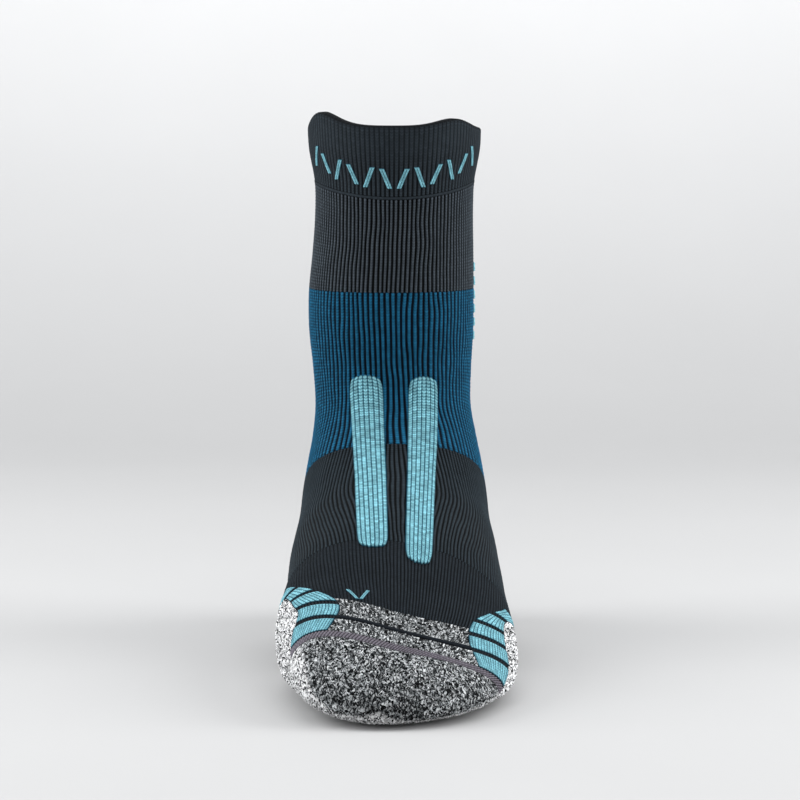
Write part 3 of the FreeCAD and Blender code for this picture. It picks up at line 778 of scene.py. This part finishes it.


# Each yarn: its lit colour, then the painted shade of its grooves, stitch gaps and pad borders.
CHARCOAL = knit_material("charcoal_yarn", (78, 87, 95), (0, 1, 2))
WELT_YARN = knit_material("charcoal_welt_yarn", (52, 61, 68), (12, 15, 18))
BLUE = knit_material("blue_yarn", (32, 108, 146), (0, 10, 22), vary=0.18)
LIGHT_BLUE = knit_material("light_blue_yarn", (138, 200, 213), (14, 60, 78), vary=0.26)
INSTEP_YARN = knit_material("instep_yarn", (49, 59, 66), (1, 2, 3))
FINE_YARN = knit_material("forefoot_yarn", (42, 50, 57), (4, 6, 8))
SEAM_YARN = knit_material("seam_yarn", (24, 29, 35), (6, 8, 10))
GREY_BAND = knit_material("smooth_band_yarn", (122, 117, 126), (34, 32, 38))
LINING_YARN = knit_material("lining_yarn", (48, 55, 61), (12, 14, 17))
ELASTIC_YARN = knit_material("elastic_yarn", (60, 63, 67), (26, 26, 30))
GREY_SHADES = ((0.22, (4, 5, 6)), (0.40, (30, 32, 34)), (0.55, (88, 92, 94)),
               (0.70, (150, 154, 156)), (0.88, (226, 229, 231)))
WHITE_SHADES = ((0.25, (5, 6, 7)), (0.35, (34, 36, 38)), (0.41, (188, 190, 192)),
                (0.55, (235, 236, 237)), (0.85, (253, 253, 254)))
MELANGE = terry_material("grey_melange_terry", GREY_SHADES)
SOLE_TERRY = terry_material("white_black_terry", WHITE_SHADES)
SOLE_TERRY_SOLID = terry_material("white_black_pile", WHITE_SHADES, solid=True)
CAP_TERRY = terry_material("toe_cap_terry", GREY_SHADES, solid=True, other=WHITE_SHADES)


# ------ pieces
def finish_piece(obj, material, body):
    """Give a piece its material and attach it to its body, or bake its transform if it is given
    a soft stretch; hide the CAD node it stands for.
    """
    obj.data.materials.append(material)
    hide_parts(obj.name.removeprefix(PREFIX))
    if isinstance(body, dict):
        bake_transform(obj)
    else:
        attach(obj, body)


def knit_piece(name, zone, knit, material, body, slot, **details):
    """A piece that is one panel."""
    finish_piece(panel(name, zone, knit, **details), material, body)


def join(name, objects):
    """One object from several, with their attributes."""
    first = objects[0]
    with bpy.context.temp_override(active_object=first, object=first,
                                   selected_objects=objects,
                                   selected_editable_objects=objects):
        bpy.ops.object.join()
    first.name = first.data.name = PREFIX + name
    return first


def rim_fold(u, s, a, b):
    """The rim is round: it falls off towards its top edge."""
    drop = 1.3
    return -drop * (1 - np.sqrt(np.clip(1 - (1 - b) ** 2, 0, 1)))


def deeper_ribs(u, s, a, b):
    """The ribs of the welt show more towards the lower edge of its front."""
    height, courses = 0.5, 20
    wale = WELT.place(u * WELT.wales, b * courses)
    ridge = np.sin(math.pi * (wale - np.floor(wale)))
    share = smoothstep(0.2, 1.0, b) * np.cos(2 * math.pi * u) ** 2
    return height * (ridge - RIDGE_MEAN) * share


def welt_elastic():
    """Elastic bands laid in between the two layers of the welt."""
    first, last, height = 0.66, 1.85, ELASTIC_HEIGHT / CUFF_STEP
    bands = []
    for i in range(ELASTIC_BANDS):
        s = first + (last - first - height) * i / (ELASTIC_BANDS - 1)
        bands.append(panel("band_%d" % i, ring_zone(s, s + height), INNER, rows=4, columns=200,
                           inner=-UNDER_OUTER - ELASTIC, lift=-UNDER_OUTER))
    finish_piece(join("welt_elastic", bands), ELASTIC_YARN, "leg")


def cuff():
    """The turned welt: its rim, its two layers and the elastic between them."""
    stitch_room = 0.2
    knit_piece("welt_rim", ring_zone(rim, rim_end), WELT, WELT_YARN, "leg", "charcoal_rib",
               inner=-WELT_DEPTH, relief=rim_fold, rows=8)
    layer = ring_zone(rim_end, welt_end)
    knit_piece("welt_outer", layer, WELT, WELT_YARN, "leg", "charcoal_rib",
               relief=deeper_ribs)
    knit_piece("welt_lining", layer, WELT, LINING_YARN, "leg", "lining",
               inner=-UNDER_ELASTIC, lift=-WELT_DEPTH + stitch_room, inside_out=True)
    welt_elastic()


def chain_relief(pad, proud):
    """Height of a raised pad: rounded at its border, with chains of stitches along it."""
    base = 0.15

    def relief(u, s, a, b):
        wale, course = a * pad.wales, b * pad.count
        p, q = wale - np.floor(wale), course - np.floor(course)
        ridge, body = np.sin(math.pi * p) ** 0.6, np.sin(math.pi * q) ** 0.7
        uneven = 0.8 + 0.4 * cell_noise(np.floor(wale), np.floor(course), 5)
        shoulder = (1 - np.abs(2 * a - 1) ** 18) * (1 - np.abs(2 * b - 1) ** (3 * pad.count))
        top = 0.20 + 0.80 * ridge * (0.42 + 0.58 * body) * uneven
        return base + (proud - base) * shoulder * top
    return relief


def pads(name, items, proud, body, tones=(0.38, 0.92)):
    """One light-blue piece made of raised pads, with painted shade in the gaps between their
    chains and along their borders. tones are shares of their height.
    """
    made = [panel("%s_%d" % (name, i), pad, CHAIN, inner=-PAD_SUNK, rows=4 * pad.count,
                  relief=chain_relief(pad, proud), tones=(tones[0] * proud, tones[1] * proud))
            for i, pad in enumerate(items)]
    finish_piece(join(name, made), LIGHT_BLUE, body)


def cuff_motif():
    """A row of slanted strokes that follows the hanging front of the welt."""
    half_u, count, half_height, half_width, lean = 0.185, 12, 0.30, 0.0045, 0.0075
    middle_s, rise = 1.83, 0.76
    strokes = []
    for i in range(count):
        middle = half_u * ((2 * i + 1) / count - 1)
        slant = lean if i % 2 else -lean

        def borders(a, b, middle=middle, slant=slant):
            u = middle + slant * (2 * b - 1) + half_width * (2 * a - 1)
            arc = middle_s - rise * (middle / half_u) ** 2
            return u, arc + half_height * (2 * b - 1)
        strokes.append(Pad(borders, wales=2, courses=7))
    pads("cuff_motif", strokes, STRIPE_PROUD, "leg")


def achilles_pad():
    """Raised blocks stacked over the Achilles tendon."""
    first, last, count = 4.25, 6.40, 6
    pitch = (last - first) / count
    middle_u, half_u, corner = 0.462, 0.222, 0.25
    share = 0.72                # of the pitch; the rest is a groove
    blocks = []
    for i in range(count):
        def borders(a, b, s0=first + pitch * i):
            across = 2 * a - 1
            height = pitch * share * (1 - corner * across ** 6)
            return middle_u + half_u * across, s0 + pitch * share / 2 + height * (b - 0.5)
        blocks.append(Pad(borders, wales=44, courses=4, samples=4))
    pads("achilles_pad", blocks, PAD_PROUD, ANKLE, tones=(-0.3, 0.6))


def instep_bar(name):
    """A raised cushion bar from the shin to the end of the instep. It narrows at its rounded
    ends, where each of its chains of stitches stands out a little."""
    (inner0, outer0), (inner1, outer1), (s0, s1) = BARS[name]
    wales, courses = 7, 96
    narrowing, end_length, chain_end = 0.14, 0.16, 0.06

    def borders(a, b):
        narrow = 1 - narrowing * (2 * b - 1) ** 30
        inner, outer = inner0 + (inner1 - inner0) * b, outer0 + (outer1 - outer0) * b
        middle, half = (inner + outer) / 2, np.abs(outer - inner) / 2
        round_end = end_length * (1 - np.abs(2 * a - 1) ** 2.5)
        round_end = round_end + chain_end * np.abs(np.sin(math.pi * wales * a))
        s = s0 - round_end + (s1 - s0 + 2 * round_end) * b
        return SKIN.u_of(middle + half * narrow * (2 * a - 1), s), s
    pads(name, [Pad(borders, wales, courses)], PAD_PROUD, ANKLE)


def leg():
    knit_piece("welt_join", ring_zone(welt_end, join_end), SEAM, WELT_YARN, "leg", "seam",
               inner=-WELT_DEPTH, lift=JOIN_PROUD, rows=4)
    knit_piece("leg_rib", ring_zone(join_end, S_BAND), LEG, CHARCOAL, "leg", "charcoal_rib")
    band, flex = ring_zone(S_BAND, S_FLEX), ring_zone(S_FLEX, flex_end)
    knit_piece("ankle_band", band, BLUE_RIB, BLUE, ANKLE, "blue_knit", fade=("top",))
    knit_piece("ankle_flex", flex, BLUE_RIB, BLUE, ANKLE, "blue_knit",
               first_course=band.courses(), fade=("bottom",))


def ridge_relief(proud):
    """A raised line of stitches, round in section."""
    return lambda u, s, a, b: proud * np.sqrt(np.clip(1 - (2 * b - 1) ** 2, 0, 1))


def foot():
    instep = Zone(-U_SIDE, U_SIDE, flex_end, S_INSTEP_END)
    knit_piece("instep_panel", instep, INSTEP, INSTEP_YARN, "foot", "instep_knit")
    heel, gore = (U_SIDE, 1 - U_SIDE), (S_GORE - GORE_HALF, S_GORE + GORE_HALF)
    upper, lower = Zone(*heel, flex_end, gore[0]), Zone(*heel, gore[1], heel_end)
    knit_piece("heel_upper", upper, TERRY, MELANGE, "foot", "melange_terry")
    knit_piece("heel_lower", lower, TERRY, SOLE_TERRY, "foot", "sole_terry")
    arch = Zone(*heel, heel_end, S_ARCH_END)
    knit_piece("arch_band", arch, INSTEP, INSTEP_YARN, "foot", "instep_knit")
    ends = ((U_SIDE, U_GORE_END), (1 - U_GORE_END, 1 - U_SIDE))
    gores = [panel("gore_%d" % i, Zone(u0, u1, *gore), SEAM, rows=8,
                   relief=ridge_relief(SEAM_PROUD))
             for i, (u0, u1) in enumerate(ends)]
    finish_piece(join("heel_gores", gores), SEAM_YARN, "foot")


def pile(name, zone, body, columns, rows, capped=False):
    """Terry loops on the inside of a zone."""
    height, loop_size, sunk = 0.9, 1.3, 0.8

    def loops(u, s, a, b):
        return height * (solid_noise(SKIN.at(u, s, 0.0) / loop_size, 4) - sunk)
    knit_piece(name, zone, INNER, SOLE_TERRY_SOLID if capped else SOLE_TERRY, body,
               "sole_terry", inner=-UNDER_OUTER, lift=-UNDER_OUTER - PILE, relief=loops,
               rows=rows, columns=columns, inside_out=True, capped=capped)


def piles():
    """The piles end a little inside the zones that they line."""
    inset_u, inset = 0.012, 0.1
    sole_sides = (0.32, 0.68)
    pile("heel_pile", Zone(U_SIDE + inset_u, 1 - U_SIDE - inset_u,
                           lambda u: flex_end(u) + inset, lambda u: heel_end(u) - inset),
         "foot", 128, 112)
    pile("sole_pile", Zone(*sole_sides, S_ARCH_END + inset, toe_line(S_CAP - inset)),
         BALL, 96, 96)
    pile("toe_cap_pile", ring_zone(toe_line(S_CAP + inset), TIP_END), "toe", 200, 40, True)


def wing_stripes(side):
    """Raised stripes across a wing. The last one is wider and touches the smooth band."""
    first, pitch, height, last_height, inset, count = 18.04, 0.57, 0.43, 0.54, 0.001, 5
    sign = SIDES[side]
    stripes = []
    for i in range(count):
        start = first + pitch * i
        end = start + (height if i < count - 1 else last_height)
        zone = side_zone(side, lambda s: wing_edge(side)(s) + sign * inset,
                         lambda s: guard_edge(side)(s) - sign * inset,
                         toe_line(start), toe_line(end))
        wales = max(5, round(zone.width * TERRY.wales))
        stripes.append(Pad(zone.map, wales, courses=6, samples=4))
    pads("wing_stripes_" + side, stripes, STRIPE_PROUD, BALL)


def forefoot():
    top = Zone(wing_edge("medial"), wing_edge("lateral"), S_INSTEP_END, toe_line(S_TERRY))
    knit_piece("forefoot_panel", top, FINE, FINE_YARN, BALL, "instep_knit")
    sole = Zone(U_SOLE, 1 - U_SOLE, S_ARCH_END, toe_line(S_CAP))
    knit_piece("sole_cushion", sole, TERRY, SOLE_TERRY, BALL, "sole_terry")
    for side, sign in SIDES.items():
        wing = side_zone(side, wing_edge(side), guard_edge(side), S_INSTEP_END,
                         toe_line(S_SMOOTH))
        knit_piece("wing_panel_" + side, wing, FINE, FINE_YARN, BALL, "instep_knit")
        guard = side_zone(side, guard_edge(side), sign * U_SOLE, S_ARCH_END, toe_line(S_CAP))
        knit_piece("side_guard_" + side, guard, TERRY, SOLE_TERRY, BALL, "sole_terry")
        wing_stripes(side)


def side_mark():
    """Two short strokes in a V on the medial side of the forefoot."""
    middle, gap, spread, half_width = -0.066, 0.003, 0.014, 0.003
    low, length = 19.30, 0.36
    strokes = []
    for direction in (1, -1):
        def borders(a, b, direction=direction):
            u = middle + direction * (gap + spread * b) + half_width * (2 * a - 1)
            return u, low - length * b
        strokes.append(Pad(borders, wales=2, courses=5))
    pads("side_mark", strokes, STRIPE_PROUD, BALL)


# Strips across the toes: name, material slot, yarn, knit, its two borders in s, its sides, how
# proud its middle stands, and its mesh rows where two for each course aren't right.
TOE_STRIPS = (
    ("toe_terry_back", "melange_terry", MELANGE, TERRY, S_TERRY, S_SEAM, wing_edge, 0.0, None),
    ("toe_seam", "seam", SEAM_YARN, SEAM, S_SEAM, S_TERRY_FRONT, wing_edge, SEAM_PROUD, 8),
    ("toe_terry_front", "melange_terry", MELANGE, TERRY, S_TERRY_FRONT, S_SMOOTH, wing_edge,
     0.0, None),
    ("toe_smooth_band", "smooth_band", GREY_BAND, DIAGONAL, S_SMOOTH, S_CAP, guard_edge,
     0.2, 20),
)


def toe():
    for name, slot, yarn, knit, s0, s1, edge, proud, rows in TOE_STRIPS:
        zone = Zone(edge("medial"), edge("lateral"), toe_line(s0), toe_line(s1))
        knit_piece(name, zone, knit, yarn, "toe", slot, rows=rows,
                   relief=ridge_relief(proud) if proud else None)
    toe_cap()


def toe_cap():
    """The closed end of the toe, with loops in two sizes that grow over its first twelfth."""
    height, large, small, growth = 0.85, 1.15, 0.7, 12

    def loops(u, s, a, b):
        points = SKIN.at(u, s, 0.0)
        lumps = 0.6 * solid_noise(points / large, 8) + 0.4 * solid_noise(points / small, 9)
        return height * (lumps - 0.5) * np.clip(growth * b, 0, 1)
    zone = ring_zone(toe_line(S_CAP), TIP_END)
    cap = panel("toe_cap", zone, INNER, relief=loops, rows=72, columns=432, capped=True)
    mark_pale(cap)
    finish_piece(cap, CAP_TERRY, "toe")


def mark_pale(cap):
    """Set the attribute pale to 1 where the cap's yarns are white and black: low on each side,
    and lower still towards the tip."""
    medial, lateral, soft = 0.200, 0.272, 0.008
    tip_drop, drop_start, drop_length = 0.13, -186, 25
    place = cap.data.attributes["wale"].data
    wale = np.empty(len(place), dtype=np.float32)
    place.foreach_get("value", wale)
    points = np.empty(3 * len(place), dtype=np.float32)
    cap.data.vertices.foreach_get("co", points)
    y = points.reshape(-1, 3)[:, 1] / MM
    u = wale / INNER.wales      # the wales of INNER don't stray
    towards_tip = np.clip((drop_start - y) / drop_length, 0, 1)
    border = np.where(u < 0, medial, lateral) + tip_drop * towards_tip ** 2
    set_attribute(cap, "pale", smoothstep(-soft, soft, from_front(u) - border))


# ------ studio
def studio():
    """A pale paper sweep: a floor that curves up into a wall, with painted shade that makes it a
    little darker at the foot.
    """
    width, front, back, radius, top = 3.0, -2.2, 1.6, 0.9, 3.0
    profile = [(front, 0.0), (back - radius, 0.0)]
    profile += [(back - radius + radius * math.sin(t), radius - radius * math.cos(t))
                for t in np.linspace(0, math.pi / 2, 17)[1:]]
    profile.append((back, top))
    mesh = bpy.data.meshes.new("backdrop")
    bm = bmesh.new()
    rows = [[bm.verts.new((x, y, z)) for x in (-width, width)] for y, z in profile]
    for (a, b), (c, d) in zip(rows, rows[1:]):
        bm.faces.new((a, b, d, c)).smooth = True
    bm.to_mesh(mesh)
    bm.free()
    backdrop = add_object("backdrop", mesh)
    g = Graph("paper")
    place = g.node("TexCoord", output="Object")
    grain = g.line(g.noise(place, 6.0, 3.0), 0.04, 0.98)
    height = g.node("SeparateXYZ", {0: place}, output=2)
    # Painted shade: the paper is painted darker from half a metre up down to the floor.
    painted_floor_shade, painted_shade_height = 0.51, 0.5
    tone = g.node("MapRange", {0: height, 1: 0.0, 2: painted_shade_height, 3: painted_floor_shade, 4: 1.0})
    g.set_shader({"Base Color": g.grey(g.product(tone, grain)), "Roughness": 0.9})
    mesh.materials.append(g.material)


def area_light(name, place, aim, size, power):
    data = bpy.data.lights.new(name, "AREA")
    data.shape, data.size, data.size_y, data.energy = "RECTANGLE", size[0], size[1], power
    lamp = add_object(name, data)
    lamp.location = place
    look_at(lamp, aim)


def look_at(obj, aim):
    direction = Vector(aim) - obj.location
    obj.rotation_euler = direction.to_track_quat("-Z", "Y").to_euler()


def lights():
    for name, x in (("left_strip", -1.1), ("right_strip", 1.1)):
        area_light(name, place=(x, -0.1, 0.6), aim=(0, 0, 0.12), size=(0.7, 1.4), power=14)
    area_light("top_box", place=(0.0, -0.3, 1.6), aim=(0, -0.05, 0.1), size=(1.6, 1.2),
               power=11)
    area_light("front_fill", place=(0.0, -2.0, 0.9), aim=(0, 0, 0.1), size=(1.6, 1.0),
               power=6)
    world = bpy.data.worlds.new("studio_air")
    bpy.context.scene.world = world
    world.use_nodes = True
    background = world.node_tree.nodes["Background"]
    background.inputs["Color"].default_value = (0.95, 0.97, 1.0, 1.0)
    background.inputs["Strength"].default_value = 0.55


def camera():
    place, aim = (0.0, -1.310, 0.235), (0.0, 0.0, 0.1096)
    data = bpy.data.cameras.new("camera")
    data.lens, data.sensor_width = 129.0, 36.0
    cam = add_object("camera", data)
    cam.location = place
    look_at(cam, aim)
    bpy.context.scene.camera = cam


cuff()
cuff_motif()
leg()
achilles_pad()
foot()
for bar in BARS:
    instep_bar(bar)
piles()
forefoot()
side_mark()
toe()
studio()
lights()
camera()
bpy.context.scene.view_settings.view_transform = "Standard"
